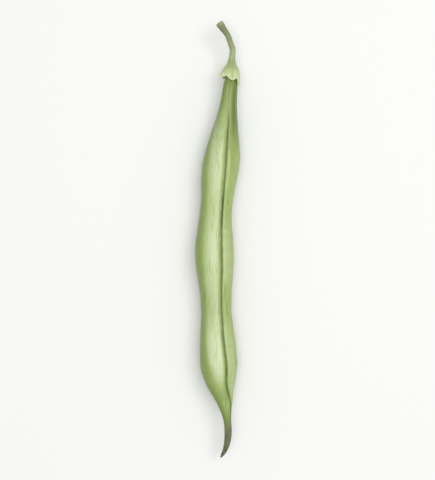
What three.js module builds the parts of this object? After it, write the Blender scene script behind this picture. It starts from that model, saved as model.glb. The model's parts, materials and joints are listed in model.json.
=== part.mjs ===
// A green bean: one pod of the bush bean with its calyx and stalk, as picked, lying on a flat surface.
// Millimetres. +Z is up, +Y points to the stalk and -Y to the beak.
// The origin is on the surface, below the middle of the whole bean.

import * as THREE from "three";
import { mergeVertices } from "three/addons/utils/BufferGeometryUtils.js";

// Driving dimensions. Distances along the bean are counted towards the beak from the pod's neck,
// where the calyx's longest tooth ends.

const POD_LENGTH = 110;
const STALK_LENGTH = 17;
const FULL_HALF_WIDTH = 5.65;
const NECK_RADIUS = 2.2;
const BEAK_RADIUS = 1.1;
const STALK_RADIUS = 0.85;
const CALYX_RIM_RADIUS = 2.8;
const REST_FLAT_DEPTH = 0.25;

// The origin's place in the distances used below, so that it lies under the middle of the whole bean
const ORIGIN_ALONG = 46.15;
const ORIGIN_SIDEWAYS = 0.67;

const point = (sideways, along, height) =>
  new THREE.Vector3(sideways - ORIGIN_SIDEWAYS, ORIGIN_ALONG - along, height);

// 0 before from, 1 after to, and a smooth step between them
const ease = (from, to, at) => THREE.MathUtils.smoothstep(at, from, to);

// A hump of height 1 at centre
const hump = (at, centre, spread) => Math.exp(-(((at - centre) / spread) ** 2));

const mix = THREE.MathUtils.lerp;

// The line through the middle of the pod, seen from above and from the side

const POD_FOOT = -3;
const MIDDLE_LINE = new THREE.SplineCurve(
  [
    [POD_FOOT, 4.75],
    [3, 4.2],
    [10, 3.4],
    [25, 1.55],
    [42, -0.1],
    [58, 0],
    [78, 0.8],
    [88, 1.45],
    [95, 2.9],
    [100, 3.6],
    [104, 3.65],
    [107.5, 2.9],
    [POD_LENGTH, 1.65],
  ].map(([along, sideways]) => new THREE.Vector2(along, sideways)),
);
const SAMPLES_ON_LINE = 780;
const MIDDLE_LINE_SAMPLES = MIDDLE_LINE.getPoints(SAMPLES_ON_LINE);

function sidewaysAt(along) {
  const next = Math.max(
    1,
    MIDDLE_LINE_SAMPLES.findIndex((sample) => sample.x >= along),
  );
  const [before, after] = MIDDLE_LINE_SAMPLES.slice(next - 1, next + 1);
  return mix(before.y, after.y, (along - before.x) / (after.x - before.x));
}

const BODY_HEIGHT = 5.4 - REST_FLAT_DEPTH;
const NECK_RISE = { by: 1.1, until: 26 };
const BEAK_RISE = { by: 2.1, from: 82, to: 101 };
const BEAK_DROOP = { by: 1.4, from: 97, to: 113 };

const heightAt = (along) =>
  BODY_HEIGHT +
  NECK_RISE.by * (1 - ease(POD_FOOT, NECK_RISE.until, along)) +
  BEAK_RISE.by * ease(BEAK_RISE.from, BEAK_RISE.to, along) -
  BEAK_DROOP.by * ease(BEAK_DROOP.from, BEAK_DROOP.to, along);

// The pod's half width. It is full where the seeds lie and drawn in between them.

const WAISTS = [
  { at: 37, depth: 1.02, spread: 8.8 },
  { at: 65.5, depth: 1.3, spread: 10 },
];
const MIDDLE_SEED = { at: 51, swell: 0.36, spread: 8 };
const FOOT_TUCK = { by: 0.7, until: 2.2 };
const SHOULDER = { from: 2, to: 26 };
const TAPER = { from: 81.6, to: 100.4 };
const BEAK_TIP_SHARE = 0.42;

// pinch is how strongly the waists and the middle seed show: 1 on the valves and less on the seams
function profileAt(along, pinch) {
  let body =
    FULL_HALF_WIDTH +
    pinch * MIDDLE_SEED.swell * hump(along, MIDDLE_SEED.at, MIDDLE_SEED.spread);
  for (const waist of WAISTS)
    body -= pinch * waist.depth * hump(along, waist.at, waist.spread);
  const tuck = FOOT_TUCK.by * (1 - ease(POD_FOOT, FOOT_TUCK.until, along));
  const shouldered = mix(
    NECK_RADIUS - tuck,
    body,
    ease(SHOULDER.from, SHOULDER.to, along),
  );
  const towardsTip = Math.max(0, (along - TAPER.to) / (POD_LENGTH - TAPER.to));
  const beak = BEAK_RADIUS * mix(1, BEAK_TIP_SHARE, towardsTip ** 2);
  return mix(shouldered, beak, ease(TAPER.from, TAPER.to, along));
}

// The seams. One runs along the top, right of the middle, and turns to the side at the beak.
// It lies in a crease with a cord in it. The other runs below, as a low keel.

const SEAM_PINCH = 0.4;
const SEAM_DEPTH_SHARE = 0.95;
const CREASE = { depth: 0.5, spread: 0.95 };
const CORD = { height: 0.22, spread: 0.3 };
const KEEL = { height: 0.25, spread: 0.7 };

// The direction from the middle line to the upper seam, in degrees up from +X. It turns down towards
// the beak, and a little back up between the second and the third seed.
const SEAM_DIRECTION_AT_NECK = 78;
const SEAM_TURNS = [
  { by: 12, from: 8, to: 45 },
  { by: -4, from: 50, to: 66 },
  { by: 7, from: 72, to: 86 },
  { by: 50, from: 87, to: 100 },
];

function seamDirectionAt(along) {
  let direction = SEAM_DIRECTION_AT_NECK;
  for (const turn of SEAM_TURNS) direction -= turn.by * ease(turn.from, turn.to, along);
  return direction;
}

// The relief of both seams fades out towards the neck and the beak
const RELIEF = { starts: 3, full: 18, fades: 86, ends: 97 };

const reliefShareAt = (along) =>
  ease(RELIEF.starts, RELIEF.full, along) * (1 - ease(RELIEF.fades, RELIEF.ends, along));

// A point of the pod's skin. turn is the angle from the upper seam, and out is 0 only at a cap's middle.
function podPoint(along, turn, out) {
  const overValves = profileAt(along, 1);
  const overSeams = SEAM_DEPTH_SHARE * profileAt(along, SEAM_PINCH);
  const fromSeam = overSeams * Math.abs(turn);
  const fromKeel = overSeams * (Math.PI - Math.abs(turn));
  const relief =
    reliefShareAt(along) *
    (CORD.height * hump(fromSeam, 0, CORD.spread) -
      CREASE.depth * hump(fromSeam, 0, CREASE.spread) +
      KEEL.height * hump(fromKeel, 0, KEEL.spread));
  const toSeam = out * (overSeams + relief) * Math.cos(turn);
  const toValve = out * overValves * Math.sin(turn);
  const seam = THREE.MathUtils.degToRad(seamDirectionAt(along));
  const sideways =
    sidewaysAt(along) + toSeam * Math.cos(seam) - toValve * Math.sin(seam);
  const height =
    heightAt(along) + toSeam * Math.sin(seam) + toValve * Math.cos(seam);
  return point(sideways, along, Math.max(0, height));
}

// A closed body of rings. The cylinder gives the closed net, and place moves each of its corners.

function bodyOfRings(sides, rings, place) {
  const net = new THREE.CylinderGeometry(1, 1, 1, sides, rings);
  net.deleteAttribute("normal");
  net.deleteAttribute("uv");
  const corners = net.getAttribute("position");
  for (let i = 0; i < corners.count; i++) {
    const [x, y, z] = [corners.getX(i), corners.getY(i), corners.getZ(i)];
    const { x: px, y: py, z: pz } = place(0.5 - y, Math.atan2(z, x), Math.hypot(x, z));
    corners.setXYZ(i, px, py, pz);
  }
  const body = mergeVertices(net, 1e-4);
  body.computeVertexNormals();
  return body;
}

function finish(colour, roughness) {
  return new THREE.MeshStandardMaterial({ color: colour, roughness, metalness: 0 });
}

// The pod. Its sides are set closer together near both seams.

const POD_SIDES = 36;
const POD_RINGS = 84;
const CROWDING = 0.38;

const pod = new THREE.Mesh(
  bodyOfRings(POD_SIDES, POD_RINGS, (share, angle, out) => {
    const turn = angle - CROWDING * Math.sin(2 * angle);
    return podPoint(mix(POD_FOOT, POD_LENGTH, share), turn, out);
  }),
  finish("#a8bb74", 0.42),
);
pod.name = "pod";

// The calyx: a cup of joined sepals, whose rim ends in teeth round the pod's neck.
// The teeth go round from the right over the top, and a few stand off the neck.

const CALYX_DEPTH = 5.4;
const CALYX_FOOT_RADIUS = 1;
const CUP_FLOOR = 2.4;
const CALYX_WALL = 0.5;
const CALYX_SIDES = 40;
const TEETH = [
  { length: 2.0, flare: 0.05 },
  { length: 0.95, flare: 0.15 },
  { length: 0.65, flare: 0.6 },
  { length: 0.9, flare: 0.1 },
  { length: 1.2, flare: 0.15 },
];
const FIRST_TOOTH = THREE.MathUtils.degToRad(8);
const TOOTH_BLUNTNESS = 1.3;
const TOOTH_ROOT = 1.8;

// The rim slants: it lies this much further down on the right, and as much further up on the left
const RIM_SLANT = 0.4;

// The cup's outline from its foot to the rim, as [radius, distance from the rim]
const CUP_OUTLINE = [
  [CALYX_FOOT_RADIUS, CALYX_DEPTH],
  [1.05, 4.9],
  [1.22, 4],
  [1.5, 3.2],
  [2.1, 2.3],
  [2.65, 1],
  [CALYX_RIM_RADIUS, 0],
];

// How far the rim reaches down and out at an angle: the most at a tooth's tip and 0 between two teeth
function toothAt(angle) {
  const turn = ((angle - FIRST_TOOTH) / (2 * Math.PI)) * TEETH.length + 0.5;
  const place = THREE.MathUtils.euclideanModulo(turn, TEETH.length);
  const tooth = TEETH[Math.floor(place)];
  const tip = 1 - Math.abs(2 * (place - Math.floor(place)) - 1) ** TOOTH_BLUNTNESS;
  return { down: tooth.length * tip, out: tooth.flare * tip ** 2 };
}

function calyxBody() {
  const outside = CUP_OUTLINE.map(([radius, up]) => new THREE.Vector2(radius, up));
  const inside = CUP_OUTLINE.filter(([, up]) => up < CUP_FLOOR)
    .map(([radius, up]) => new THREE.Vector2(radius - CALYX_WALL, up))
    .reverse();
  const outline = [
    new THREE.Vector2(0, CALYX_DEPTH),
    ...outside,
    ...inside,
    new THREE.Vector2(0, CUP_FLOOR),
  ].reverse();
  const net = new THREE.LatheGeometry(outline, CALYX_SIDES, Math.PI / 2 - FIRST_TOOTH);
  net.deleteAttribute("normal");
  net.deleteAttribute("uv");
  const corners = net.getAttribute("position");
  for (let i = 0; i < corners.count; i++) {
    const [x, up, z] = [corners.getX(i), corners.getY(i), corners.getZ(i)];
    const atRim = 1 - ease(0, TOOTH_ROOT, up);
    const angle = Math.atan2(z, x);
    const tooth = toothAt(angle);
    const widened = 1 + (atRim * tooth.out) / CALYX_RIM_RADIUS;
    const down = tooth.down + RIM_SLANT * Math.cos(angle);
    corners.setXYZ(i, x * widened, up - atRim * down, z * widened);
  }
  const body = mergeVertices(net, 1e-4);
  body.computeVertexNormals();
  return body;
}

// Where the calyx sits and leans, and the line of the stalk, from the calyx to the snapped end

const STALK_GAP = 0.15;
const CALYX_TILT = { sideways: 0.08, height: 0.1 };
const CALYX_RIM_AT = { sideways: 4.45, along: -1.8 };
const CALYX_PLACE = point(CALYX_RIM_AT.sideways, CALYX_RIM_AT.along, heightAt(CALYX_RIM_AT.along));
const STALK_LINE = new THREE.CatmullRomCurve3([
  point(4.9, CALYX_RIM_AT.along - CALYX_DEPTH - STALK_GAP, 6.8),
  point(5.03, -9.4, 7.05),
  point(4.4, -11.5, 7.3),
  point(3.7, -13.4, 7.65),
  point(2.5, -15.1, 8.05),
  point(1.1, -STALK_LENGTH, 8.5),
]);

const calyx = new THREE.Mesh(calyxBody(), finish("#aab97c", 0.6));
calyx.name = "calyx";
calyx.position.copy(CALYX_PLACE);
calyx.quaternion.setFromUnitVectors(
  new THREE.Vector3(0, 1, 0),
  new THREE.Vector3(CALYX_TILT.sideways, 1, CALYX_TILT.height).normalize(),
);

// The stalk: widest at the calyx and again at the end where it snapped off the plant

const STALK_SIDES = 14;
const STALK_RINGS = 18;
const STALK_FOOT_SWELL = { by: 0.12, until: 0.15 };
const STALK_END_SWELL = { by: 0.3, from: 0.78, to: 0.95 };
const UP = new THREE.Vector3(0, 0, 1);

function stalkPoint(share, angle, out) {
  const middle = STALK_LINE.getPoint(share);
  const ahead = STALK_LINE.getTangent(share);
  const across = new THREE.Vector3().crossVectors(ahead, UP).normalize();
  const up = new THREE.Vector3().crossVectors(across, ahead);
  const radius =
    STALK_RADIUS +
    STALK_FOOT_SWELL.by * (1 - ease(0, STALK_FOOT_SWELL.until, share)) +
    STALK_END_SWELL.by * ease(STALK_END_SWELL.from, STALK_END_SWELL.to, share);
  return middle
    .clone()
    .addScaledVector(across, out * radius * Math.cos(angle))
    .addScaledVector(up, out * radius * Math.sin(angle));
}

const stalk = new THREE.Mesh(
  bodyOfRings(STALK_SIDES, STALK_RINGS, (share, angle, out) =>
    stalkPoint(1 - share, angle, out),
  ),
  finish("#93a266", 0.6),
);
stalk.name = "stalk";

const bean = new THREE.Group();
bean.add(pod, calyx, stalk);

export default bean;
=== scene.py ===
# %% [markdown]
# # A green bean, freshly picked
#
# This scene dresses one green bean: its pod, the calyx at the stem end and the stalk that it hung by.
# The bean lies on a pale table and the camera looks straight down on it.
# Lengths are thought of in millimetres, as a gardener would, and turned to Blender's metres
# only when a mesh is made.

# %% Tools
import json
import math

import bmesh
import bpy
import numpy as np
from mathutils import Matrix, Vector, noise

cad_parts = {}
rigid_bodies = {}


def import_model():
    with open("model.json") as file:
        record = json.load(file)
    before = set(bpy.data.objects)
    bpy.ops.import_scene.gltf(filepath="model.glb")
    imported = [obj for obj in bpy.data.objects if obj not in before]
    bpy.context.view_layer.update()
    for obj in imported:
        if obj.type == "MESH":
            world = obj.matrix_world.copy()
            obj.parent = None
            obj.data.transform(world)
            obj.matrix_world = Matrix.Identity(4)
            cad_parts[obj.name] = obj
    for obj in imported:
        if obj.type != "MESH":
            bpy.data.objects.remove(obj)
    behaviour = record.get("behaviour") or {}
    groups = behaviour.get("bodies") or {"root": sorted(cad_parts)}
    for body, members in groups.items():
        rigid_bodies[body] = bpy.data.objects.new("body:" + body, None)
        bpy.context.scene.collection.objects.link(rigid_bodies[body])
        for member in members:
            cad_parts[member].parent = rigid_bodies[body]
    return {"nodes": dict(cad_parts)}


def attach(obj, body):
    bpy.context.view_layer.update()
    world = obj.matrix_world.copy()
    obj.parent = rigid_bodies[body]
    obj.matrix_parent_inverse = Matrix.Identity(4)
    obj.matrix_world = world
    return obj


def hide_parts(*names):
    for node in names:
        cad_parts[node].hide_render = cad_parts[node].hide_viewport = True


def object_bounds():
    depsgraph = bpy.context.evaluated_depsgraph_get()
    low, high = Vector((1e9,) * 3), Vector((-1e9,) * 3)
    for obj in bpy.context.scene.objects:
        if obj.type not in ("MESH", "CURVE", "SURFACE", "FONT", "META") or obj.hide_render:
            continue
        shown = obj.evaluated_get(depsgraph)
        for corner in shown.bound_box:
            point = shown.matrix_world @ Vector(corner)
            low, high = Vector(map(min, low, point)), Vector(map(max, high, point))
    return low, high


MM = 0.001

# What a new file holds is cleared away
for leftover in list(bpy.data.objects):
    bpy.data.objects.remove(leftover)

# %% The measured model to build around
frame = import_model()
model_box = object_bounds()
print("the model holds", sorted(frame["nodes"]))
print("it measures", [round(side / MM, 1) for side in model_box[1] - model_box[0]], "mm")

# %% [markdown]
# ## The camera
#
# The bean hangs upright in its picture, and a picked bean lies down.
# So the camera hangs over the table and looks straight down, with the stalk at the top of the frame.
# A long lens keeps the view as flat as a plate in a seed catalogue.
# The camera's height follows from the bean's length and the share of the frame that it should fill.

# %% Camera
PICTURE = (435, 480)
BEAN_SHARE_OF_HEIGHT = 0.92
LENS_MM = 85
SENSOR_MM = 36
NEAREST_SEEN = 0.01

lowest, highest = model_box
centre = (lowest + highest) / 2
seen_height = (highest.y - lowest.y) / BEAN_SHARE_OF_HEIGHT
camera_data = bpy.data.cameras.new("camera")
camera_data.lens = LENS_MM
camera_data.sensor_width = SENSOR_MM
camera_data.clip_start = NEAREST_SEEN
camera = bpy.data.objects.new("camera", camera_data)
camera.location = (centre.x, centre.y, highest.z + seen_height * LENS_MM / SENSOR_MM)
bpy.context.scene.collection.objects.link(camera)
bpy.context.scene.camera = camera
pixel = seen_height / PICTURE[1]
print("one pixel of the picture is", round(pixel / MM, 2), "mm")

# %% [markdown]
# ## Small tools for shapes
#
# A bean has no straight edge and no circle, but every part of it follows a rule:
# it swells here, narrows there and bends a little on the way.
# Three small functions say all of that: a smooth step, a smooth hump and a mix of two values.
# They work on whole NumPy arrays, so one line shapes a hundred thousand corners at once.


# %% Step, hump, mix and smooth line
def ease(start, end, at):
    """0 before start, 1 after end, and a smooth step between them."""
    share = np.clip((np.asarray(at, float) - start) / (end - start), 0, 1)
    return share * share * (3 - 2 * share)


def hump(at, centre, spread):
    """A rounded hump of height 1 at centre."""
    return np.exp(-(((at - centre) / spread) ** 2))


def mix(a, b, share):
    return a + (b - a) * share


def smooth_line(points, steps):
    """The smooth (Catmull-Rom) line through a few points, with steps places from each to the next."""
    p = np.array([points[0], *points, points[-1]], float)
    t = np.linspace(0, 1, steps, endpoint=False)[:, None]
    spans = [
        b + (c - a) * t / 2 + (a - 2.5 * b + 2 * c - d / 2) * t**2 + (1.5 * (b - c) + (d - a) / 2) * t**3
        for a, b, c, d in zip(p, p[1:], p[2:], p[3:])
    ]
    return np.vstack([*spans, p[-1:]])


print("halfway up a step:", ease(0, 2, 1), "and beside a hump:", round(float(hump(1, 0, 1)), 3))

# %% [markdown]
# ## The line that the pod follows
#
# Seen from above, the right side of this pod is nearly straight while the left side sweeps in
# to the neck and to the hooked beak. So the line through its middle wanders a few millimetres.
# The distance along the bean is counted towards the beak, from where the calyx's longest tooth ends.

# %% Where things are
POD_LENGTH = 110
POD_FOOT = -3
ORIGIN_ALONG = 46.15
ORIGIN_SIDEWAYS = 0.67
BODY_HEIGHT = 5.15
NECK_RISE, NECK_RISE_UNTIL = 1.1, 26
BEAK_RISE, BEAK_RISE_FROM, BEAK_RISE_TO = 2.1, 82, 101
BEAK_DROOP, BEAK_DROOP_FROM, BEAK_DROOP_TO = 1.4, 97, 113
# Distances along the bean, and how far to the right its middle lies there
MIDDLE_LINE = smooth_line(
    [
        (POD_FOOT, 4.75),
        (3, 4.2),
        (10, 3.4),
        (25, 1.55),
        (42, -0.1),
        (58, 0),
        (78, 0.8),
        (88, 1.45),
        (95, 2.9),
        (100, 3.6),
        (104, 3.65),
        (107.5, 2.9),
        (POD_LENGTH, 1.65),
    ],
    steps=60,
)


def sideways_at(along):
    return np.interp(along, MIDDLE_LINE[:, 0], MIDDLE_LINE[:, 1])


def height_at(along):
    neck = NECK_RISE * (1 - ease(POD_FOOT, NECK_RISE_UNTIL, along))
    beak = BEAK_RISE * ease(BEAK_RISE_FROM, BEAK_RISE_TO, along)
    droop = BEAK_DROOP * ease(BEAK_DROOP_FROM, BEAK_DROOP_TO, along)
    return BODY_HEIGHT + neck + beak - droop


def place(sideways, along, height):
    """Corners in millimetres, from distances on the bean: x to the right, y to the stalk, z up."""
    return np.stack([sideways - ORIGIN_SIDEWAYS, ORIGIN_ALONG - along, height], -1)


print("the middle line wanders", round(float(np.ptp(MIDDLE_LINE[:, 1])), 1), "mm sideways")

# %% [markdown]
# ## The pod's profile
#
# Seeds push the two halves of a pod, its valves, apart. Between the seeds the valves sink in again.
# So the half width is one even value with waists taken out of it, and it eases into the slim neck
# at one end and the thin beak at the other.
# The seams are stiff and show the waists much less than the valves do.

# %% Half width along the pod
FULL_HALF_WIDTH = 5.65
NECK_RADIUS = 2.2
BEAK_RADIUS = 1.1
BEAK_TIP_SHARE = 0.42
# Each waist, and the middle seed: where it lies, how deep or high it is, and how far it spreads
WAISTS = [(37, 1.02, 8.8), (65.5, 1.3, 10)]
MIDDLE_SEED = (51, 0.36, 8)
FOOT_TUCK, FOOT_TUCK_UNTIL = 0.7, 2.2
# Where the neck widens to the body, and where the body narrows to the beak
SHOULDER = (2, 26)
TAPER = (81.6, 100.4)


def profile_at(along, pinch):
    """Half width in millimetres. pinch is how much the seeds show: 1 in full, less on the seams."""
    at, swell, spread = MIDDLE_SEED
    body = FULL_HALF_WIDTH + pinch * swell * hump(along, at, spread)
    for at, depth, spread in WAISTS:
        body = body - pinch * depth * hump(along, at, spread)
    neck = NECK_RADIUS - FOOT_TUCK * (1 - ease(POD_FOOT, FOOT_TUCK_UNTIL, along))
    to_tip = np.clip((along - TAPER[1]) / (POD_LENGTH - TAPER[1]), 0, 1)
    beak = BEAK_RADIUS * mix(1, BEAK_TIP_SHARE, to_tip**2)
    return mix(mix(neck, body, ease(*SHOULDER, along)), beak, ease(*TAPER, along))


for at in (10, 25, 51, 80, 105):
    print("at", at, "mm the pod is", round(float(2 * profile_at(at, 1)), 1), "mm wide")

# %% [markdown]
# ## The seams
#
# The upper seam is where the seeds hang inside. A strand of fibres, the string of a string bean,
# runs in it and shows as a fine cord at the bottom of a shallow crease.
# It starts on top at the neck and drifts to the right, turns a little back up between the second
# and the third seed, and rolls over the side at the beak.
# The lower seam is a low keel on the underside.
# A fine groove splits the cord, because each valve brings half of it.

# %% Crease, cord and keel
SEAM_PINCH = 0.4
SEAM_DEPTH_SHARE = 0.95
SEAM_DIRECTION_AT_NECK = 78
# Each turn of the seam: how many degrees down, and between which distances along the bean
SEAM_TURNS = [(12, 8, 45), (-4, 50, 66), (7, 72, 86), (50, 87, 100)]
RELIEF_STARTS, RELIEF_FULL, RELIEF_FADES, RELIEF_ENDS = 3, 18, 86, 97
CREASE_DEPTH, CREASE_SPREAD = 0.5, 0.95
CORD_HEIGHT, CORD_SPREAD = 0.24, 0.32
GROOVE_DEPTH, GROOVE_SPREAD = 0.07, 0.09
KEEL_HEIGHT, KEEL_SPREAD = 0.25, 0.7


def seam_direction_at(along):
    """The way from the middle line to the upper seam, in radians up from the right."""
    direction = SEAM_DIRECTION_AT_NECK
    for turn, start, end in SEAM_TURNS:
        direction = direction - turn * ease(start, end, along)
    return np.radians(direction)


def seam_relief(along, from_seam, from_keel):
    """How far the skin stands out at the seams, in millimetres, from the arc distances to them."""
    share = ease(RELIEF_STARTS, RELIEF_FULL, along) * (1 - ease(RELIEF_FADES, RELIEF_ENDS, along))
    crease = -CREASE_DEPTH * hump(from_seam, 0, CREASE_SPREAD)
    cord = CORD_HEIGHT * hump(from_seam, 0, CORD_SPREAD)
    groove = -GROOVE_DEPTH * hump(from_seam, 0, GROOVE_SPREAD)
    keel = KEEL_HEIGHT * hump(from_keel, 0, KEEL_SPREAD)
    return share * (crease + cord + groove + keel)


print("the seam turns down by", sum(turn for turn, _, _ in SEAM_TURNS), "degrees on its way to the beak")

# %% [markdown]
# ## What makes it a grown thing
#
# A rule alone gives a bean of plastic. The real skin also carries small accidents:
# slow dents that a thumb could feel, shallow wrinkles where the neck dries, lengthwise folds in the
# withered beak, and slight slanting dips where the wall is drawn in between the seeds.
# Blender's noise gives the dents. It is the same in each run, because it needs no random numbers.

# %% Dents, wrinkles and folds
DENT_DEPTH = 0.16
DENT_LENGTH, DENT_WIDTH = 9, 3.2
DENTS_START, DENTS_FULL, DENTS_FADE, DENTS_END = 5, 25, 88, 100
# The ripples are read from another place of the same noise
RIPPLE_DEPTH, RIPPLE_LENGTH, RIPPLE_WIDTH, RIPPLE_PLACE = 0.05, 2.2, 0.9, 7
SLANT_DEPTH, SLANT_PITCH, SLANT_LEAN, SLANT_EVENNESS = 0.07, 6.1, 2.3, 0.4
NECK_FOLDS, NECK_FOLD_DEPTH = 9, 0.07
NECK_FOLDS_FADE, NECK_FOLDS_END = 3, 17
BEAK_FOLDS, BEAK_FOLD_DEPTH, BEAK_FOLDS_TURNED = 5, 0.11, 0.8
BEAK_FOLDS_START, BEAK_FOLDS_FULL = 94, 104


def noise_at(x, y, z):
    """Blender's smooth noise at arrays of places."""
    places = zip(np.ravel(x), np.ravel(y), np.ravel(z))
    values = [noise.noise(Vector(one)) for one in places]
    return np.reshape(values, np.shape(x))


def grown_detail(along, turn, radius):
    """The height of all the small accidents of the skin, in millimetres."""
    across, up = radius * np.cos(turn), radius * np.sin(turn)
    dents = noise_at(along / DENT_LENGTH, across / DENT_WIDTH, up / DENT_WIDTH)
    ripples = noise_at(along / RIPPLE_LENGTH, across / RIPPLE_WIDTH, up / RIPPLE_WIDTH + RIPPLE_PLACE)
    body = ease(DENTS_START, DENTS_FULL, along) * (1 - ease(DENTS_FADE, DENTS_END, along))
    slant = np.cos(2 * np.pi * (along - SLANT_LEAN * np.abs(turn)) / SLANT_PITCH)
    on_valve = np.sin(np.abs(turn)) ** 2
    neck = 1 - ease(NECK_FOLDS_FADE, NECK_FOLDS_END, along)
    beak = ease(BEAK_FOLDS_START, BEAK_FOLDS_FULL, along)
    return (
        DENT_DEPTH * body * dents
        + RIPPLE_DEPTH * body * ripples
        + SLANT_DEPTH * body * on_valve * slant * (SLANT_EVENNESS + dents)
        + NECK_FOLD_DEPTH * neck * np.cos(NECK_FOLDS * turn)
        + BEAK_FOLD_DEPTH * beak * np.cos(BEAK_FOLDS * turn + BEAK_FOLDS_TURNED)
    )


print("the deepest dent is", DENT_DEPTH, "mm, about half a pixel of the picture")

# %% [markdown]
# ## The net of the skin
#
# The pod is one closed skin, so it is a net of rings from the foot to the tip of the beak.
# The rings' corners crowd together near the upper seam, where the cord is thin, and the rings
# themselves follow a quarter circle at both ends, which rounds them.
# A surface of revolution with modifiers would be quicker, but it can't hold a seam that wanders.


# %% A closed tube from rings
def add_piece(name, corners, faces):
    """A smooth mesh object of corners in millimetres, with its faces turned outwards."""
    mesh = bpy.data.meshes.new(name)
    mesh.from_pydata((np.asarray(corners) * MM).tolist(), [], faces)
    net = bmesh.new()
    net.from_mesh(mesh)
    bmesh.ops.recalc_face_normals(net, faces=net.faces)
    net.to_mesh(mesh)
    net.free()
    mesh.shade_smooth()
    piece = bpy.data.objects.new(name, mesh)
    bpy.context.scene.collection.objects.link(piece)
    return piece


def tube(name, rings, first_pole, last_pole):
    """A closed tube over rings (rows, sides, 3), with a fan of triangles to a pole at both ends."""
    rows, sides = rings.shape[:2]
    corner = np.arange(rows * sides).reshape(rows, sides)
    beside = np.roll(corner, -1, axis=1)
    faces = np.stack([corner[:-1], beside[:-1], beside[1:], corner[1:]], -1).reshape(-1, 4).tolist()
    for pole, ring in ((rows * sides, corner[0]), (rows * sides + 1, corner[-1])):
        faces += [(pole, int(a), int(b)) for a, b in zip(ring, np.roll(ring, -1))]
    corners = np.vstack([rings.reshape(-1, 3), first_pole, last_pole])
    return add_piece(name, corners, faces)


def note(piece, name, values):
    """Writes one number on each corner of a piece, for its material to read."""
    layer = piece.data.attributes.new(name, "FLOAT", "POINT")
    layer.data.foreach_set("value", np.ravel(values).astype(np.float32))


# %% The pod
POD_SIDES = 144
POD_RINGS = 590
ROUNDING_RINGS = 8
FOOT_ROUNDING, TIP_ROUNDING = 0.8, 1.7
CROWDING_AT_SEAM, CROWDING_AT_BOTH = 0.42, 0.2
TABLE_SOFTNESS = 0.08
FLAT_BELOW, FREE_ABOVE = -1, 0.2


def rest_on_table(height):
    """Heights kept above the table, with a soft edge where the skin starts to rest on it."""
    return (height + np.sqrt(height**2 + TABLE_SOFTNESS**2)) / 2 * ease(FLAT_BELOW, FREE_ABOVE, height)


def pod_skin(along, turn, out):
    """Corners of the skin. turn is the angle from the upper seam, and out is less than 1 in the caps."""
    over_valves = profile_at(along, 1)
    over_seams = SEAM_DEPTH_SHARE * profile_at(along, SEAM_PINCH)
    from_seam = over_seams * np.abs(turn)
    from_keel = over_seams * (np.pi - np.abs(turn))
    detail = grown_detail(along, turn, over_valves)
    over_valves = over_valves + detail
    over_seams = over_seams + seam_relief(along, from_seam, from_keel) + detail
    to_seam = out * over_seams * np.cos(turn)
    to_valve = out * over_valves * np.sin(turn)
    seam = seam_direction_at(along)
    sideways = sideways_at(along) + to_seam * np.cos(seam) - to_valve * np.sin(seam)
    height = height_at(along) + to_seam * np.sin(seam) + to_valve * np.cos(seam)
    return place(sideways, along, rest_on_table(height))


def make_pod():
    quarter = np.linspace(0, np.pi / 2, ROUNDING_RINGS + 1)[1:-1]
    foot_rings = POD_FOOT + FOOT_ROUNDING * (1 - np.cos(quarter))
    tip_rings = POD_LENGTH - TIP_ROUNDING * (1 - np.cos(quarter))
    body_rings = np.linspace(POD_FOOT + FOOT_ROUNDING, POD_LENGTH - TIP_ROUNDING, POD_RINGS)
    along = np.concatenate([foot_rings, body_rings, tip_rings[::-1]])
    out = np.concatenate([np.sin(quarter), np.ones(POD_RINGS), np.sin(quarter)[::-1]])
    angle = np.linspace(-np.pi, np.pi, POD_SIDES, endpoint=False)
    turn = angle - CROWDING_AT_SEAM * np.sin(angle) - CROWDING_AT_BOTH * np.sin(2 * angle)
    along, turn = np.meshgrid(along, turn, indexing="ij")
    rings = pod_skin(along, turn, out[:, None])
    poles = [place(sideways_at(a), a, height_at(a)) for a in (POD_FOOT, POD_LENGTH)]
    pod = tube("bean_pod", rings, *poles)
    from_seam = profile_at(along, SEAM_PINCH) * turn
    note(pod, "along", [*np.ravel(along), POD_FOOT, POD_LENGTH])
    note(pod, "from_seam", [*np.ravel(from_seam), 0, 0])
    note(pod, "turn", [*np.ravel(np.abs(turn)), 0, 0])
    note(pod, "half_width", [*np.ravel(profile_at(along, 1)), NECK_RADIUS, BEAK_RADIUS])
    return pod


pod = make_pod()
print("the pod has", len(pod.data.polygons), "faces")
print("its sides are", [round(side / MM, 1) for side in pod.dimensions], "mm")

# %% [markdown]
# ## The calyx
#
# The green cup at the stem end is the calyx, which once wrapped the flower bud. Its sepals are joined
# to a bell, and only their tips stay free as blunt teeth on the rim. Five ribs run up to the teeth.
# The rim slants a little: its longest tooth lies against the neck, and the one opposite stands off.
# It could be modelled by hand from a cylinder, but the bell, teeth and ribs all follow from one angle,
# so it is a second closed tube: up the outside, over the thin rim and down the inside.

# %% The calyx's bell and teeth
CALYX_DEPTH = 5.4
CUP_FLOOR = 2.4
CALYX_WALL = 0.4
CALYX_RIM_RADIUS = 2.8
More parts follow.
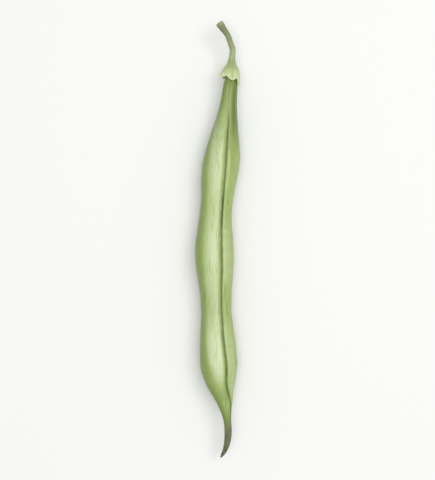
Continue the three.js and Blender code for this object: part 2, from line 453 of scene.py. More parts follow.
# Radius and distance up from the rim, from the foot to the rim
CUP_OUTLINE = [
    (0.93, CALYX_DEPTH),
    (1, 4.9),
    (1.22, 4),
    (1.5, 3.2),
    (2.1, 2.3),
    (2.65, 1),
    (CALYX_RIM_RADIUS, 0),
]
FOOT_EDGE = 0.2
TOOTH_LENGTHS = [2.0, 0.95, 0.65, 0.9, 1.2]
TOOTH_FLARES = [0.05, 0.15, 0.6, 0.1, 0.15]
FIRST_TOOTH = math.radians(8)
TOOTH_BLUNTNESS = 1.3
TOOTH_ROOT = 1.8
RIM_SLANT = 0.4
RIB_HEIGHT, RIB_SHARPNESS, RIB_FADES_AT = 0.13, 8, 3.6
CALYX_SIDES = 180
FOOT_STEPS, RIM_STEPS = 5, 6
CALYX_TILT = Vector((0.08, 1, 0.1))
CALYX_RIM_SIDEWAYS, CALYX_RIM_ALONG = 4.45, -1.8


def at_tooth(angle, values):
    """The value of the tooth at each angle, and how far the angle is from that tooth's tip, 0 to 1."""
    place_round = ((angle - FIRST_TOOTH) / (2 * np.pi) * len(values) + 0.5) % len(values)
    number = np.floor(place_round).astype(int)
    from_tip = np.abs(2 * (place_round - number) - 1)
    return np.asarray(values)[number], from_tip


def calyx_corners(radius, up, angle):
    """Corners of the upright cup, from its plain radius and the distance up from its rim."""
    length, from_tip = at_tooth(angle, TOOTH_LENGTHS)
    flare, _ = at_tooth(angle, TOOTH_FLARES)
    tip = 1 - from_tip**TOOTH_BLUNTNESS
    at_rim = 1 - ease(0, TOOTH_ROOT, up)
    rib = RIB_HEIGHT * np.cos(np.pi * from_tip / 2) ** RIB_SHARPNESS
    rib = rib * ease(CALYX_DEPTH, RIB_FADES_AT, up)
    radius = radius + at_rim * flare * tip**2 + rib
    up = up - at_rim * (length * tip + RIM_SLANT * np.cos(angle))
    return np.stack([radius * np.cos(angle), up, radius * np.sin(angle)], -1)


def make_calyx():
    outline = smooth_line(CUP_OUTLINE, steps=9)
    inside = outline[outline[:, 1] < CUP_FLOOR][::-1]
    quarter = np.linspace(0, np.pi / 2, FOOT_STEPS + 1)[:-1]
    half_circle = np.linspace(0, np.pi, RIM_STEPS + 1)[1:-1]
    foot = CUP_OUTLINE[0][0] - FOOT_EDGE * (1 - np.sin(quarter))
    rim = CALYX_RIM_RADIUS - CALYX_WALL / 2 * (1 - np.cos(half_circle))
    radius = np.concatenate([foot, outline[:, 0], rim, inside[:, 0] - CALYX_WALL])
    foot_up = CALYX_DEPTH + FOOT_EDGE * np.cos(quarter)
    rim_up = -CALYX_WALL / 2 * np.sin(half_circle)
    up = np.concatenate([foot_up, outline[:, 1], rim_up, inside[:, 1]])
    angle = np.linspace(0, 2 * np.pi, CALYX_SIDES, endpoint=False)
    rings = calyx_corners(radius[:, None], up[:, None], angle[None, :])
    turned = np.array(Vector((0, 1, 0)).rotation_difference(CALYX_TILT.normalized()).to_matrix())
    at_neck = place(CALYX_RIM_SIDEWAYS, CALYX_RIM_ALONG, height_at(CALYX_RIM_ALONG))
    rings = rings @ turned.T + at_neck
    poles = [turned @ (0, depth, 0) + at_neck for depth in (CALYX_DEPTH + FOOT_EDGE, CUP_FLOOR)]
    calyx = tube("bean_calyx", rings, *poles)
    _, from_tip = at_tooth(np.broadcast_to(angle, rings.shape[:2]), TOOTH_LENGTHS)
    outside = np.arange(len(radius)) < len(foot) + len(outline)
    note(calyx, "up", [*np.repeat(up, CALYX_SIDES), CALYX_DEPTH, CUP_FLOOR])
    note(calyx, "from_rib", [*np.ravel(from_tip), 1, 1])
    note(calyx, "grows", [*np.repeat(outside, CALYX_SIDES), 1, 0])
    return calyx


calyx = make_calyx()
print("the calyx has", len(TOOTH_LENGTHS), "teeth, the longest of", max(TOOTH_LENGTHS), "mm")

# %% [markdown]
# ## One function for every node
#
# Geometry and materials are both built from nodes. One function adds a node, sets it up and links it.
# A second one, which it uses, gives a node its inputs. An input that is given a node takes that node's
# first output.
# A colour is written as the hex value that a paint program shows, and a third function turns it to
# the linear numbers that light works in.


# %% Colours
def linear(colour):
    """An sRGB hex colour as the linear numbers that a shader takes."""
    values = [int(colour[i : i + 2], 16) / 255 for i in (1, 3, 5)]
    return [v / 12.92 if v <= 0.04045 else ((v + 0.055) / 1.055) ** 2.4 for v in values] + [1]


print("a middle grey on the screen is", round(linear("#808080")[0], 2), "of white's light")


# %% Adding a node
# Inputs go by number where two of them have one name. On Map Range, 1 and 2 are the range that it reads,
# and 3 and 4 the range that it gives. On Mix, 0 is the share, and 6 and 7 are the colours.
def give(tree, node, inputs):
    for name, value in inputs.items():
        if isinstance(value, bpy.types.Node):
            value = value.outputs[0]
        if isinstance(value, bpy.types.NodeSocket):
            tree.links.new(value, node.inputs[name])
        else:
            node.inputs[name].default_value = value


def add(tree, kind, inputs=None, stops=(), **settings):
    node = tree.nodes.new(kind)
    for name, value in settings.items():
        setattr(node, name, value)
    give(tree, node, inputs or {})
    if kind == "ShaderNodeValToRGB":
        for _ in stops[2:]:
            node.color_ramp.elements.new(1)
        for element, (position, colour) in zip(node.color_ramp.elements, stops):
            element.position, element.color = position, linear(colour)
    if kind == "ShaderNodeFloatCurve":
        for _ in stops[2:]:
            node.mapping.curves[0].points.new(1, 1)
        for point, location in zip(node.mapping.curves[0].points, stops):
            point.location = location
    return node


def new_tree(name, inputs):
    """A geometry node tree with a geometry input and output and the named inputs."""
    tree = bpy.data.node_groups.new(name, "GeometryNodeTree")
    tree.interface.new_socket("Geometry", in_out="OUTPUT", socket_type="NodeSocketGeometry")
    tree.interface.new_socket("Geometry", in_out="INPUT", socket_type="NodeSocketGeometry")
    for socket, kind in inputs.items():
        tree.interface.new_socket(socket, in_out="INPUT", socket_type="NodeSocket" + kind)
    return tree, add(tree, "NodeGroupInput").outputs


def end_tree(tree, geometry, material):
    """Ends a tree in one real mesh that carries its material."""
    whole = add(tree, "GeometryNodeRealizeInstances", {"Geometry": geometry})
    dressed = add(tree, "GeometryNodeSetMaterial", {"Geometry": whole, "Material": material})
    add(tree, "NodeGroupOutput", {"Geometry": dressed})
    return tree


def grow(name, tree, values, start):
    """Runs a node tree on start and keeps the result as a plain mesh. values go by the inputs' names."""
    bpy.context.scene.collection.objects.link(start)
    modifier = start.modifiers.new(tree.name, "NODES")
    modifier.node_group = tree
    for socket in tree.interface.items_tree:
        if socket.in_out == "INPUT" and socket.name in values:
            modifier[socket.identifier] = values[socket.name]
    start.update_tag()
    seen = start.evaluated_get(bpy.context.evaluated_depsgraph_get())
    mesh = bpy.data.meshes.new_from_object(seen)
    bpy.data.objects.remove(start)
    piece = bpy.data.objects.new(name, mesh)
    bpy.context.scene.collection.objects.link(piece)
    return piece


# %% [markdown]
# ## Materials
#
# Each material below starts from what the surface really is, and is named for it.
# The distances in its patterns are real sizes in millimetres, and its relief has a real depth.

# %% New materials
# How far light gets through green flesh: green furthest, red half as far, and blue a quarter
THROUGH_FLESH = (0.5, 1, 0.25)


def new_material(name):
    material = bpy.data.materials.new(name)
    material.use_nodes = True
    tree = material.node_tree
    return material, tree, tree.nodes["Principled BSDF"]


def per(millimetres):
    """A pattern's scale, from the size of one of its features."""
    return 1 / (millimetres * MM)


# %% [markdown]
# ## Bean skin
#
# Fresh bean skin is living plant tissue under a thin natural wax, grown and not made.
# The wax gives the eye a soft, wide highlight, and the flesh below lets a little light in.
# The colour isn't even: the neck is a dull olive and the belly a fresh mid green. The swollen valve
# is pale along its crown, partly the stretched skin's own tone and partly a painted highlight. Fine
# fibres run lengthwise and show as darker strokes. The seam is a dark line, its strand's own colour with
# painted shade in its crease, and beyond it lies a paler strip of painted light. The sides and the neck
# carry painted shade where they turn away from the light. The beak withers to grey brown.


# %% Patterns in the skin
# Each is a noise: how it is drawn out, how it leans, and the size of its features in millimetres
SKIN_PATTERNS = {
    "strokes": ((1, 0.08, 1), 0, 0.5),
    "hatching": ((1, 0.14, 1), 0.35, 0.75),
    "flecks": ((1, 0.4, 1), -0.3, 0.6),
    "clouds": ((1, 0.6, 1), 0, 5),
    "grain": ((1, 1, 1), 0, 0.3),
}


def skin_patterns(tree):
    where = add(tree, "ShaderNodeTexCoord").outputs["Object"]
    patterns = {}
    for name, (drawn_out, lean, size) in SKIN_PATTERNS.items():
        leaning = {"Vector": where, "Rotation": (0, 0, lean), "Scale": drawn_out}
        mapped = add(tree, "ShaderNodeMapping", leaning)
        features = {"Vector": mapped, "Scale": per(size), "Detail": 6, "Roughness": 0.62}
        patterns[name] = add(tree, "ShaderNodeTexNoise", features)
    return patterns


print("the finest pattern of the skin is", min(size for _, _, size in SKIN_PATTERNS.values()), "mm")

# %% Where each colour of the skin lies
# Each share steps from 0 up to its most, while one reading goes from the first value to the second
SKIN_STEPS = {
    # Where the pale crown lies: partly the stretched skin's own paler tone, partly a painted highlight
    "left of seam": ("from_seam", 0.35, 1.5, 1),
    "crown ends": ("from_seam", 6.6, 3.7, 1),
    "crown fades": ("along", 94, 80, 1),
    "crown slants": ("slanted", 99, 91, 1),
    # The last seed gets more painted highlight and more of the strip of painted light
    "last seed": ("along", 64, 77, 0.9),
    "swollen": ("half_width", 2.0, 5.9, 1),
    "unbroken": ("strokes", 0.25, 0.55, 1),
    # Where the paler strip of painted light lies, beyond the seam on the swollen valve
    "right of seam": ("from_seam", -0.4, -1.0, 1),
    "strip ends": ("from_seam", -4.6, -2.0, 1),
    "strip rises": ("along", 14, 46, 1),
    "strip leaves": ("along", 95, 88, 1),
    "at seed": ("half_width", 4.3, 5.6, 1),
    # The seam's dark line: the strand's own colour with painted shade in its crease
    "seam": ("frayed seam", 0.95, 0.35, 0.95),
    "seam starts": ("along", 4, 16, 1),
    "stretch starts": ("along", 31, 35, 0.8),
    "stretch ends": ("along", 44, 40, 1),
    # These place painted shade on the neck and down the sides that turn away from the light
    "near neck": ("along", 27, 9, 0.9),
    "nearest neck": ("along", 23, 9, 0.9),
    "far left": ("from_seam", 1.7, 3.4, 0.6),
    "sides": ("turn", 0.75, 1.65, 0.85),
    "strokes": ("strokes", 0.48, 0.7, 0.8),
    "hatching": ("hatching", 0.5, 0.72, 0.65),
    "flecks": ("flecks", 0.42, 0.75, 0.5),
    "clouds": ("clouds", 0.45, 0.7, 0.5),
    "withered": ("along", 95, 105, 0.9),
    "dried": ("along", 98, 108, 1),
    "beak streaks": ("hatching", 0.4, 0.62, 1),
}
# Where a colour needs several steps at once, they are multiplied
STEPS_TOGETHER = {
    "crown": ("left of seam", "crown ends", "crown fades", "crown slants", "swollen", "unbroken"),
    "last seed's painted highlight": ("crown", "last seed"),
    "strip": ("right of seam", "strip ends", "strip rises", "at seed"),
    "last strip": ("right of seam", "strip ends", "last seed", "strip leaves"),
    "strip flecks": ("right of seam", "flecks"),
    "painted shade right of the neck's seam": ("right of seam", "nearest neck"),
    "painted shade on neck's left": ("far left", "near neck"),
    "painted shade on neck sides": ("sides", "near neck"),
    "seam colour and painted crease shade": ("seam", "seam starts"),
    "painted seam shade at first waist": ("seam", "stretch starts", "stretch ends"),
    "dried streaks": ("dried", "beak streaks"),
}


def skin_shares(tree, readings):
    """For each paint, how much of it shows, from 0 to 1."""
    share = {}
    for name, (reading, start, end, most) in SKIN_STEPS.items():
        inputs = {"Value": readings[reading], 1: start, 2: end, 4: most}
        share[name] = add(tree, "ShaderNodeMapRange", inputs, interpolation_type="SMOOTHSTEP")
    for name, (first, *others) in STEPS_TOGETHER.items():
        share[name] = share[first]
        for other in others:
            both = {0: share[name], 1: share[other]}
            share[name] = add(tree, "ShaderNodeMath", both, operation="MULTIPLY")
    return share


print("the skin has", len(SKIN_STEPS), "steps of colour, and", len(STEPS_TOGETHER), "made of several")


# %% Waxy bean skin
SKIN_ALONG = [
    (0.0, "#80924c"),
    (0.09, "#97aa5c"),
    (0.2, "#a0b363"),
    (0.5, "#a4b669"),
    (0.78, "#a0b267"),
    (0.86, "#93a65f"),
    (0.91, "#8b985f"),
    (0.95, "#6c7252"),
    (1.0, "#56523e"),
]
# The paints are laid over each other in this order
SKIN_PAINTS = [
    ("clouds", "#b1c479"),
    # Painted shade down the sides that turn away from the upper seam and the light
    ("sides", "#748939"),
    ("hatching", "#8a9f4f"),
    ("strokes", "#7a903f"),
    # Painted light: a paler strip on the swollen valve beyond the seam, at each seed and at the last
    ("strip", "#b5c48a"),
    ("last strip", "#b5c48a"),
    ("strip flecks", "#8fa352"),
    # Painted shade on the neck: down its sides, on its left and right of its seam
    ("painted shade on neck sides", "#6f8440"),
    ("painted shade on neck's left", "#6f8440"),
    ("painted shade right of the neck's seam", "#637934"),
    # A pale crown, partly the stretched skin's own tone and partly a painted highlight, with more
    # painted highlight on the last seed
    ("crown", "#c5d3a3"),
    ("last seed's painted highlight", "#cddbad"),
    # The seam's own dark strand with painted shade in its crease, and darker painted shade at the first
    # waist
    ("seam colour and painted crease shade", "#56692a"),
    ("painted seam shade at first waist", "#32421a"),
    ("withered", "#6e7453"),
    ("dried streaks", "#4a4736"),
]
NOTED_ON_POD = ("along", "from_seam", "turn", "half_width")
FRAYING = 0.6
# The crown's lower end, with its painted highlight, slants as the outline does there: so many
# millimetres along to one sideways
CROWN_SLANT = 2.4
# Each relief is a pattern, its strength and its depth in millimetres: fibres, and over them finer grain
SKIN_RELIEF = [("strokes", 0.45, 0.12), ("flecks", 0.35, 0.12), ("grain", 0.3, 0.05)]
# The wax thins on the withered beak, which is duller for it, and lies a little unevenly everywhere
WAX_THINS_FROM, WAX_THINS_TO = 90, 103
WAXY_ROUGHNESS, WITHERED_ROUGHNESS = 0.35, 0.7
SMOOTHER, ROUGHER = -0.06, 0.09
WAXY_FINISH = {
    "IOR": 1.42,
    "Coat Weight": 0.18,
    "Coat Roughness": 0.28,
    "Subsurface Weight": 0.12,
    "Subsurface Radius": THROUGH_FLESH,
    "Subsurface Scale": 0.8 * MM,
}


def waxy_bean_skin():
    material, tree, shader = new_material("waxy_bean_skin")
    readings = {}
    for name in NOTED_ON_POD:
        readings[name] = add(tree, "ShaderNodeAttribute", attribute_name=name).outputs["Fac"]
    patterns = skin_patterns(tree)
    distance = add(tree, "ShaderNodeMath", {0: readings["from_seam"]}, operation="ABSOLUTE")
    wobble = add(tree, "ShaderNodeMath", {0: patterns["flecks"], 1: FRAYING}, operation="MULTIPLY")
    frayed = add(tree, "ShaderNodeMath", {0: distance, 1: wobble}, operation="ADD")
    aside = add(tree, "ShaderNodeMath", {0: readings["from_seam"], 1: CROWN_SLANT}, operation="MULTIPLY")
    slanted = add(tree, "ShaderNodeMath", {0: readings["along"], 1: aside}, operation="ADD")
    share = skin_shares(tree, {**readings, **patterns, "frayed seam": frayed, "slanted": slanted})

    part = add(tree, "ShaderNodeMath", {0: readings["along"], 1: POD_LENGTH}, operation="DIVIDE")
    colour = add(tree, "ShaderNodeValToRGB", {"Fac": part}, stops=SKIN_ALONG)
    for name, paint in SKIN_PAINTS:
        layers = {0: share[name], 6: colour, 7: linear(paint)}
        colour = add(tree, "ShaderNodeMix", layers, data_type="RGBA").outputs[2]

    thinning = {1: WAX_THINS_FROM, 2: WAX_THINS_TO, 3: WAXY_ROUGHNESS, 4: WITHERED_ROUGHNESS}
    dull = add(tree, "ShaderNodeMapRange", {"Value": readings["along"], **thinning})
    cloudy = {"Value": patterns["clouds"], 1: 0.3, 2: 0.7, 3: SMOOTHER, 4: ROUGHER}
    uneven = add(tree, "ShaderNodeMapRange", cloudy)
    roughness = add(tree, "ShaderNodeMath", {0: dull, 1: uneven}, operation="ADD")

    relief = None
    for pattern, strength, depth in SKIN_RELIEF:
        inputs = {"Height": patterns[pattern], "Strength": strength, "Distance": depth * MM}
        if relief:
            inputs["Normal"] = relief
        relief = add(tree, "ShaderNodeBump", inputs)
    give(tree, shader, {"Base Color": colour, "Roughness": roughness, "Normal": relief, **WAXY_FINISH})
    return material


pod.data.materials.append(waxy_bean_skin())
print("the pod's finish is", pod.data.materials[0].name)

# %% [markdown]
# ## Sepal skin
#
# A sepal is a small green leaf. Its surface is matte and soft with down, not waxed,
# so the eye gets no clear highlight from it. It is yellower than the pod, with darker veins
# on the ribs, and pale and thin at the edge of the rim.


# %% Streaks along a piece, and paints laid over a colour
def lengthwise_streaks(tree, drawn_out, size):
    """Noise that is drawn out along the bean, with features of size millimetres across it."""
    where = add(tree, "ShaderNodeTexCoord").outputs["Object"]
    mapped = add(tree, "ShaderNodeMapping", {"Vector": where, "Scale": (1, drawn_out, 1)})
    return add(tree, "ShaderNodeTexNoise", {"Vector": mapped, "Scale": per(size), "Detail": 3})


def painted(tree, colour, paints, readings):
    """Lays paints over a colour, each from none to its most while a reading goes from start to end."""
    for reading, start, end, most, paint in paints:
        share = add(tree, "ShaderNodeMapRange", {"Value": readings[reading], 1: start, 2: end, 4: most})
        layers = {0: share, 6: colour, 7: linear(paint)}
        colour = add(tree, "ShaderNodeMix", layers, data_type="RGBA").outputs[2]
    return colour


# %% Downy sepal skin
SEPAL_UP = [
    (0.0, "#d4dcaa"),
    (0.15, "#c9d39e"),
    (0.5, "#a9b479"),
    (0.85, "#9ca672"),
    (1.0, "#a3ad7b"),
]
# The reading that a paint follows, where it starts and ends, the most of it that shows, and its colour
SEPAL_PAINTS = [
    ("streaks", 0.5, 0.7, 0.45, "#92a35c"),
    ("from_rib", 0.2, 0.02, 0.55, "#8c9d57"),
    ("up", 0.35, 0, 0.7, "#d3dca6"),
]
SEPAL_FINISH = {
    "Roughness": 0.62,
    "Sheen Weight": 0.2,
    "Sheen Roughness": 0.4,
    "Subsurface Weight": 0.15,
    "Subsurface Radius": THROUGH_FLESH,
    "Subsurface Scale": 0.6 * MM,
}


def downy_sepal_skin():
    material, tree, shader = new_material("downy_sepal_skin")
    streaks = lengthwise_streaks(tree, drawn_out=0.2, size=0.35)
    readings = {"streaks": streaks}
    for name in ("up", "from_rib"):
        readings[name] = add(tree, "ShaderNodeAttribute", attribute_name=name).outputs["Fac"]
    part = add(tree, "ShaderNodeMath", {0: readings["up"], 1: CALYX_DEPTH}, operation="DIVIDE")
    body = add(tree, "ShaderNodeValToRGB", {"Fac": part}, stops=SEPAL_UP)
    colour = painted(tree, body, SEPAL_PAINTS, readings)
    relief = add(tree, "ShaderNodeBump", {"Height": streaks, "Strength": 0.5, "Distance": 0.1 * MM})
    give(tree, shader, {"Base Color": colour, "Normal": relief, **SEPAL_FINISH})
    return material


calyx.data.materials.append(downy_sepal_skin())
print("the calyx's finish is", calyx.data.materials[0].name)

# %% [markdown]
# ## The stalk
#
# The stalk is a thin stem with strands of fibre under its skin, which stand out as ribs.
# It leaves the calyx straight, bends to the left and ends where it snapped off the plant,
# at a joint that is a little thicker.
# A shape that follows a path is made well by Geometry Nodes: a ribbed circle is swept along a curve,
# and a float curve sets its thickness on the way.

# %% Ribbed stem skin
STEM_ALONG = [
    (0.0, "#aeb887"),
    (0.3, "#9ba578"),
    (0.55, "#8b9668"),
    (0.75, "#798456"),
    (0.9, "#7d865b"),
    (1.0, "#a5a275"),
]
STEM_PAINTS = [("streaks", 0.48, 0.7, 0.6, "#66733f")]
STEM_FINISH = {
    "Roughness": 0.58,
    "Sheen Weight": 0.15,
    "Subsurface Weight": 0.1,
    "Subsurface Radius": THROUGH_FLESH,
    "Subsurface Scale": 0.5 * MM,
}


def ribbed_stem_skin():
    """Green skin drawn tight over strands of fibre: matte with down, and streaked darker along them."""
    material, tree, shader = new_material("ribbed_stem_skin")
    along = add(tree, "ShaderNodeAttribute", attribute_name="along_stalk").outputs["Fac"]
    streaks = lengthwise_streaks(tree, drawn_out=0.12, size=0.25)
    body = add(tree, "ShaderNodeValToRGB", {"Fac": along}, stops=STEM_ALONG)
    colour = painted(tree, body, STEM_PAINTS, {"streaks": streaks})
    relief = add(tree, "ShaderNodeBump", {"Height": streaks, "Strength": 0.6, "Distance": 0.1 * MM})
    give(tree, shader, {"Base Color": colour, "Normal": relief, **STEM_FINISH})
    return material


# %% A ribbed sweep along a path
# Places along the stalk, and its radius there, counted so that 0.5 is the given radius
STALK_THICKNESS = [
    (0, 0.56),
    (0.12, 0.52),
    (0.35, 0.49),
    (0.7, 0.49),
    (0.88, 0.59),
    (0.97, 0.65),
    (1, 0.61),
]


def sweep_tree():
    inputs = {"Radius": "Float", "Ribs": "Int", "Rib depth": "Float", "Material": "Material"}
    tree, given = new_tree("ribbed_sweep", inputs)
    circle = add(tree, "GeometryNodeCurvePrimitiveCircle", {"Resolution": 72, "Radius": given["Radius"]})
    round_share = add(tree, "GeometryNodeSplineParameter").outputs["Factor"]
    angle = add(tree, "ShaderNodeMath", {0: round_share, 1: math.tau}, operation="MULTIPLY")
    angle = add(tree, "ShaderNodeMath", {0: angle, 1: given["Ribs"]}, operation="MULTIPLY")
    wave = add(tree, "ShaderNodeMath", {0: angle}, operation="COSINE")
    rise = add(tree, "ShaderNodeMath", {0: wave, 1: given["Rib depth"]}, operation="MULTIPLY")
    position = add(tree, "GeometryNodeInputPosition")
    outward = add(tree, "ShaderNodeVectorMath", {0: position}, operation="NORMALIZE")
    offset = add(tree, "ShaderNodeVectorMath", {0: outward, "Scale": rise}, operation="SCALE")
    ribbed = add(tree, "GeometryNodeSetPosition", {"Geometry": circle, "Offset": offset})
    on_path = add(tree, "GeometryNodeSplineParameter").outputs["Factor"]
    place_noted = {"Geometry": given["Geometry"], "Name": "along_stalk", "Value": on_path}
    noted = add(tree, "GeometryNodeStoreNamedAttribute", place_noted)
    thickness = add(tree, "ShaderNodeFloatCurve", {"Value": on_path}, stops=STALK_THICKNESS)
    scale = add(tree, "ShaderNodeMath", {0: thickness, 1: 2}, operation="MULTIPLY")
    sweep = {"Curve": noted, "Profile Curve": ribbed, "Scale": scale, "Fill Caps": True}
    swept = add(tree, "GeometryNodeCurveToMesh", sweep)
    smooth = add(tree, "GeometryNodeSetShadeSmooth", {"Geometry": swept})
    return end_tree(tree, smooth, given["Material"])


# %% The stalk
STALK_LENGTH = 17
STALK_RADIUS = 0.85
STALK_RIBS, STALK_RIB_DEPTH = 7, 0.06
STALK_INSIDE_CALYX = 0.7
STALK_LINE = smooth_line(
    [
        place(4.83, CALYX_RIM_ALONG - CALYX_DEPTH + STALK_INSIDE_CALYX, 6.72),
        place(5.03, -9.4, 7.05),
        place(4.4, -11.5, 7.3),
        place(3.7, -13.4, 7.65),
        place(2.5, -15.1, 8.05),
        place(1.1, -STALK_LENGTH, 8.5),
    ],
    steps=14,
)


def path_object(name, points):
    curve = bpy.data.curves.new(name, "CURVE")
    curve.dimensions = "3D"
    line = curve.splines.new("POLY")
    line.points.add(len(points) - 1)
    for corner, at in zip(line.points, points * MM):
        corner.co = (*at, 1)
    return bpy.data.objects.new(name, curve)


stalk_values = {
    "Radius": STALK_RADIUS * MM,
    "Ribs": STALK_RIBS,
    "Rib depth": STALK_RIB_DEPTH * MM,
    "Material": ribbed_stem_skin(),
}
stalk = grow("bean_stalk", sweep_tree(), stalk_values, start=path_object("stalk_path", STALK_LINE))
print("the stalk has", len(stalk.data.polygons), "faces")

# %% [markdown]
# ## The snapped end
#
# A picked bean's stalk snaps off at its joint. The break shows what a stem is made of: green bark
# outside, a ring of straw-coloured strands and moist pale pith in the middle, all torn rough.
# A flat cap would look sawn. So a low, bumpy cushion of rings covers it, and the noise tears it up.

# %% Torn stem fibre
TORN_OUTWARDS = [
    (0.0, "#dde2b6"),
    (0.4, "#d3d6a4"),
    (0.6, "#b8ab74"),
    (0.75, "#a9aa72"),
    (0.95, "#8a965e"),
]
TORN_PAINTS = [("grain", 0.5, 0.75, 0.5, "#9b8f5c")]
TORN_GRAIN, RING_WOBBLE = 0.25, 0.15


def torn_stem_fibre():
    """Freshly torn stem: moist pale pith, a ring of straw strands and green bark, all of it matte."""
    material, tree, shader = new_material("torn_stem_fibre")
    where = add(tree, "ShaderNodeTexCoord").outputs["Object"]
    grain = add(tree, "ShaderNodeTexNoise", {"Vector": where, "Scale": per(TORN_GRAIN), "Detail": 2})
    from_middle = add(tree, "ShaderNodeAttribute", attribute_name="from_middle").outputs["Fac"]
    wobble = add(tree, "ShaderNodeMapRange", {"Value": grain, 3: -RING_WOBBLE, 4: RING_WOBBLE})
    ring = add(tree, "ShaderNodeMath", {0: from_middle, 1: wobble}, operation="ADD")
    body = add(tree, "ShaderNodeValToRGB", {"Fac": ring}, stops=TORN_OUTWARDS)
    colour = painted(tree, body, TORN_PAINTS, {"grain": grain})
    give(tree, shader, {"Base Color": colour, "Roughness": 0.75})
    return material


# %% The torn cushion
END_RADIUS, END_EDGE, END_SUNK = 0.99, 0.12, 0.3
END_RISE, TEAR_HEIGHT, TEAR_SIZE = 0.08, 0.2, 0.2
END_SIDES, END_RINGS = 72, 14
# The tears keep their height nearly to the edge: the more, the higher this power is
TEARS_TO_EDGE = 6
FIBRES_END = 0.78


def make_torn_end():
    middle, before = Vector(STALK_LINE[-1]), Vector(STALK_LINE[-3])
    ahead = (middle - before).normalized()
    across = ahead.cross(Vector((0, 0, 1))).normalized()
    upright = across.cross(ahead)
    outwards = np.linspace(1, 0, END_RINGS, endpoint=False)
    share = np.array([1, *outwards])[:, None]
    angle = np.linspace(0, 2 * np.pi, END_SIDES, endpoint=False)[None, :]
    radius = END_RADIUS * share
    beside, above = radius * np.cos(angle) / TEAR_SIZE, radius * np.sin(angle) / TEAR_SIZE
    torn = noise_at(beside, above, np.zeros_like(beside))
    rise = END_RISE * (1 - share**2) + TEAR_HEIGHT * torn * (1 - share**TEARS_TO_EDGE)
    rise[0] = -END_EDGE
    rings = (
        np.array(middle)
        + (radius * np.cos(angle))[..., None] * np.array(across)
        + (radius * np.sin(angle))[..., None] * np.array(upright)
        + rise[..., None] * np.array(ahead)
    )
    poles = [np.array(middle + ahead * up) for up in (-END_SUNK, float(rise[-1].mean()))]
    end = tube("torn_end", rings, *poles)
    note(end, "from_middle", [*np.repeat(share, END_SIDES), 1, 0])
    note(end, "grows", [*np.repeat(share < FIBRES_END, END_SIDES), 0, 1])
    end.data.materials.append(torn_stem_fibre())
    return end


torn_end = make_torn_end()
print("the break is", round(2 * END_RADIUS, 1), "mm across")

# %% [markdown]
# ## Down and torn fibres
#
# Young beans carry fine down: clear, bent hairs, well under a millimetre long, that lean towards the
# beak. Torn fibres stand out of the break in the same way. Neither can be placed by hand, and bump
# can't stand out from an edge. Geometry Nodes strew points over a skin, and set on each a bent,
# three-sided cone of its own size and lean. The hairs are thicker and fewer than real ones,
# as otherwise they would be lost between the pixels.


# %% A tree that strews hairs over a skin
# Each hair is a share of the given length
SHORTEST_HAIR, LONGEST_HAIR = 0.55, 1.2


def strewn_hairs():
    inputs = {
        "Per area": "Float",
        "Length": "Float",
        "Thickness": "Float",
        "Lean": "Float",
        "Stray": "Float",
        "Seed": "Int",
        "Material": "Material",
    }
    tree, given = new_tree("strewn_hairs", inputs)
    grows = add(tree, "GeometryNodeInputNamedAttribute", {"Name": "grows"})
    density = add(tree, "ShaderNodeMath", {0: given["Per area"], 1: grows}, operation="MULTIPLY")
    skin = {"Mesh": given["Geometry"], "Density": density, "Seed": given["Seed"]}
    spots = add(tree, "GeometryNodeDistributePointsOnFaces", skin)

    # Each hair leans, and strays a little from its neighbours' way
    random = {0: (-1, -1, -1), 1: (1, 1, 1), "Seed": given["Seed"]}
    any_way = add(tree, "FunctionNodeRandomValue", random, data_type="FLOAT_VECTOR")
    stray = add(tree, "ShaderNodeVectorMath", {0: any_way, "Scale": given["Stray"]}, operation="SCALE")
    lean = add(tree, "ShaderNodeCombineXYZ", {"Y": given["Lean"]})
    leaning = add(tree, "ShaderNodeVectorMath", {0: spots.outputs["Normal"], 1: lean}, operation="ADD")
    way = add(tree, "ShaderNodeVectorMath", {0: leaning, 1: stray}, operation="ADD")
    rotation = add(tree, "FunctionNodeAlignRotationToVector", {"Vector": way}, axis="Z")
    sizes = {2: SHORTEST_HAIR, 3: LONGEST_HAIR, "Seed": given["Seed"]}
    size = add(tree, "FunctionNodeRandomValue", sizes).outputs[1]

    # One hair: a slim cone whose tip bends over
    radius = add(tree, "ShaderNodeMath", {0: given["Thickness"], 1: 2}, operation="DIVIDE")
    slim = {
        "Vertices": 3,
        "Side Segments": 2,
        "Radius Top": 0,
        "Radius Bottom": radius,
        "Depth": given["Length"],
    }
    cone = add(tree, "GeometryNodeMeshCone", slim)
    up = add(tree, "ShaderNodeSeparateXYZ", {0: add(tree, "GeometryNodeInputPosition")}).outputs["Z"]
    share = add(tree, "ShaderNodeMath", {0: up, 1: given["Length"]}, operation="DIVIDE")
    bend = add(tree, "ShaderNodeMath", {0: share, 1: up}, operation="MULTIPLY")
    offset = add(tree, "ShaderNodeCombineXYZ", {"X": bend})
    hair = add(tree, "GeometryNodeSetPosition", {"Geometry": cone, "Offset": offset})

    each = {"Points": spots, "Instance": hair, "Rotation": rotation, "Scale": size}
    hairs = add(tree, "GeometryNodeInstanceOnPoints", each)
    return end_tree(tree, hairs, given["Material"])


# %% Clear plant hair
HAIR_PATCH = 1.5
HAIR_COLOURS = [(0.3, "#a9ba78"), (0.7, "#d5e0b4")]
HAIR_FINISH = {
    "Roughness": 0.4,
    "Subsurface Weight": 0.3,
    "Subsurface Radius": (1, 1, 0.6),
    "Subsurface Scale": 0.1 * MM,
}


def clear_plant_hair():
    """Dead, air-filled plant cells: almost without colour and glossy, so that they catch the light."""
    material, tree, shader = new_material("clear_plant_hair")
    where = add(tree, "ShaderNodeTexCoord").outputs["Object"]
    patches = add(tree, "ShaderNodeTexNoise", {"Vector": where, "Scale": per(HAIR_PATCH), "Detail": 2})
    colour = add(tree, "ShaderNodeValToRGB", {"Fac": patches}, stops=HAIR_COLOURS)
    give(tree, shader, {"Base Color": colour, **HAIR_FINISH})
    return material


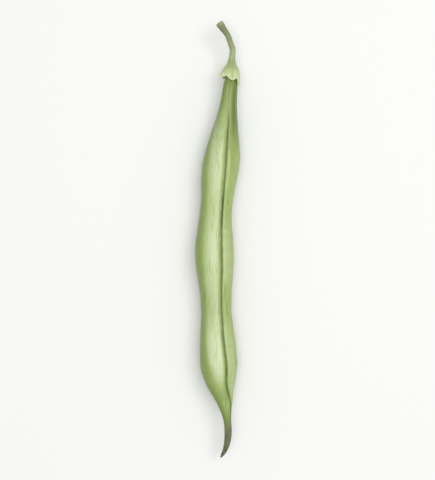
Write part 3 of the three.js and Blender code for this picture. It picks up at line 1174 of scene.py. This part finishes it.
# %% Down on each skin, and fibres on the break
TABLE_CLEARANCE = 0.5
# Hairs to a square millimetre, sizes in millimetres, lean towards the stalk, and how far they stray
POD_DOWN = {"Per area": 1.3, "Length": 0.34, "Thickness": 0.03, "Lean": -0.9, "Stray": 0.35, "Seed": 3}
CALYX_DOWN = {"Per area": 5, "Length": 0.36, "Thickness": 0.032, "Lean": -0.5, "Stray": 0.4, "Seed": 5}
STALK_DOWN = {"Per area": 4, "Length": 0.36, "Thickness": 0.032, "Lean": -0.3, "Stray": 0.5, "Seed": 8}
TORN_FIBRES = {"Per area": 24, "Length": 0.17, "Thickness": 0.11, "Lean": 0, "Stray": 0.3, "Seed": 13}
# What turns them to metres
UNITS = {"Per area": 1 / MM**2, "Length": MM, "Thickness": MM}


def above_table(piece):
    """1 where a hair has room above the table, and 0 below."""
    heights = np.array([corner.co.z for corner in piece.data.vertices]) / MM
    return ease(TABLE_CLEARANCE, 2 * TABLE_CLEARANCE, heights)


def strew(name, skin, tree, material, sizes):
    """Hairs on a copy of a piece's skin."""
    start = bpy.data.objects.new(name, skin.data.copy())
    values = {socket: size * UNITS.get(socket, 1) for socket, size in sizes.items()}
    hairs = grow(name, tree, {**values, "Material": material}, start)
    print(name, "has", len(hairs.data.polygons), "faces")
    return hairs


note(pod, "grows", above_table(pod))
note(stalk, "grows", above_table(stalk))
hair_tree = strewn_hairs()
hair = clear_plant_hair()
pod_down = strew("pod_down", pod, hair_tree, hair, POD_DOWN)
calyx_down = strew("calyx_down", calyx, hair_tree, hair, CALYX_DOWN)
stalk_down = strew("stalk_down", stalk, hair_tree, hair, STALK_DOWN)
torn_fibres = strew("torn_fibres", torn_end, hair_tree, torn_end.data.materials[0], TORN_FIBRES)

# %% [markdown]
# ## The table and the light
#
# The table is plain and pale, and takes only a soft shadow.
# One large soft light hangs above the bean, a little to the right, as a window over a work table would.
# Pale light from all around fills the shadows.

# %% Table, light and surroundings
# These sizes are in metres
TABLE_SIZE = 5
LIGHT_WIDTH, LIGHT_LENGTH = 0.42, 0.9
LIGHT_PLACE = (0.12, 0.06, 0.75)
LIGHT_WATTS = 4.2
SURROUNDINGS = "#f7f8f8"
SURROUNDINGS_STRENGTH = 0.55


def make_table():
    half = TABLE_SIZE / 2 / MM
    corners = [(-half, -half, 0), (half, -half, 0), (half, half, 0), (-half, half, 0)]
    table = add_piece("table", corners, [(0, 1, 2, 3)])
    # Matte wall paint: it takes a soft shadow and mirrors nothing
    material, tree, shader = new_material("pale_painted_table")
    give(tree, shader, {"Base Color": linear("#f2f2f0"), "Roughness": 0.8})
    table.data.materials.append(material)


def make_light():
    data = bpy.data.lights.new("soft_light", "AREA")
    data.shape = "RECTANGLE"
    data.size, data.size_y = LIGHT_WIDTH, LIGHT_LENGTH
    data.energy = LIGHT_WATTS
    light = bpy.data.objects.new("soft_light", data)
    light.location = LIGHT_PLACE
    light.rotation_euler = (-Vector(LIGHT_PLACE)).to_track_quat("-Z", "Y").to_euler()
    bpy.context.scene.collection.objects.link(light)


def make_surroundings():
    world = bpy.data.worlds.new("surroundings")
    world.use_nodes = True
    background = world.node_tree.nodes["Background"]
    light = {"Color": linear(SURROUNDINGS), "Strength": SURROUNDINGS_STRENGTH}
    give(world.node_tree, background, light)
    bpy.context.scene.world = world


make_table()
make_light()
make_surroundings()
bpy.context.scene.view_settings.view_transform = "Standard"
print("the light measures", LIGHT_WIDTH, "by", LIGHT_LENGTH, "m and gives", LIGHT_WATTS, "watts")

# %% [markdown]
# ## Handing over
#
# Each piece rides on the root body, and the part of the measured model that it stands for is hidden.

# %% Pieces and the parts that they stand for
for piece, node in ((pod, "pod"), (calyx, "calyx"), (stalk, "stalk")):
    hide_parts(node)
for node, pieces in (
    ("pod", (pod, pod_down)),
    ("calyx", (calyx, calyx_down)),
    ("stalk", (stalk, stalk_down, torn_end, torn_fibres)),
):
    for piece in pieces:
        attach(piece, "root")
        print(piece.name, "has the finish of", node, "and", len(piece.data.polygons), "faces")
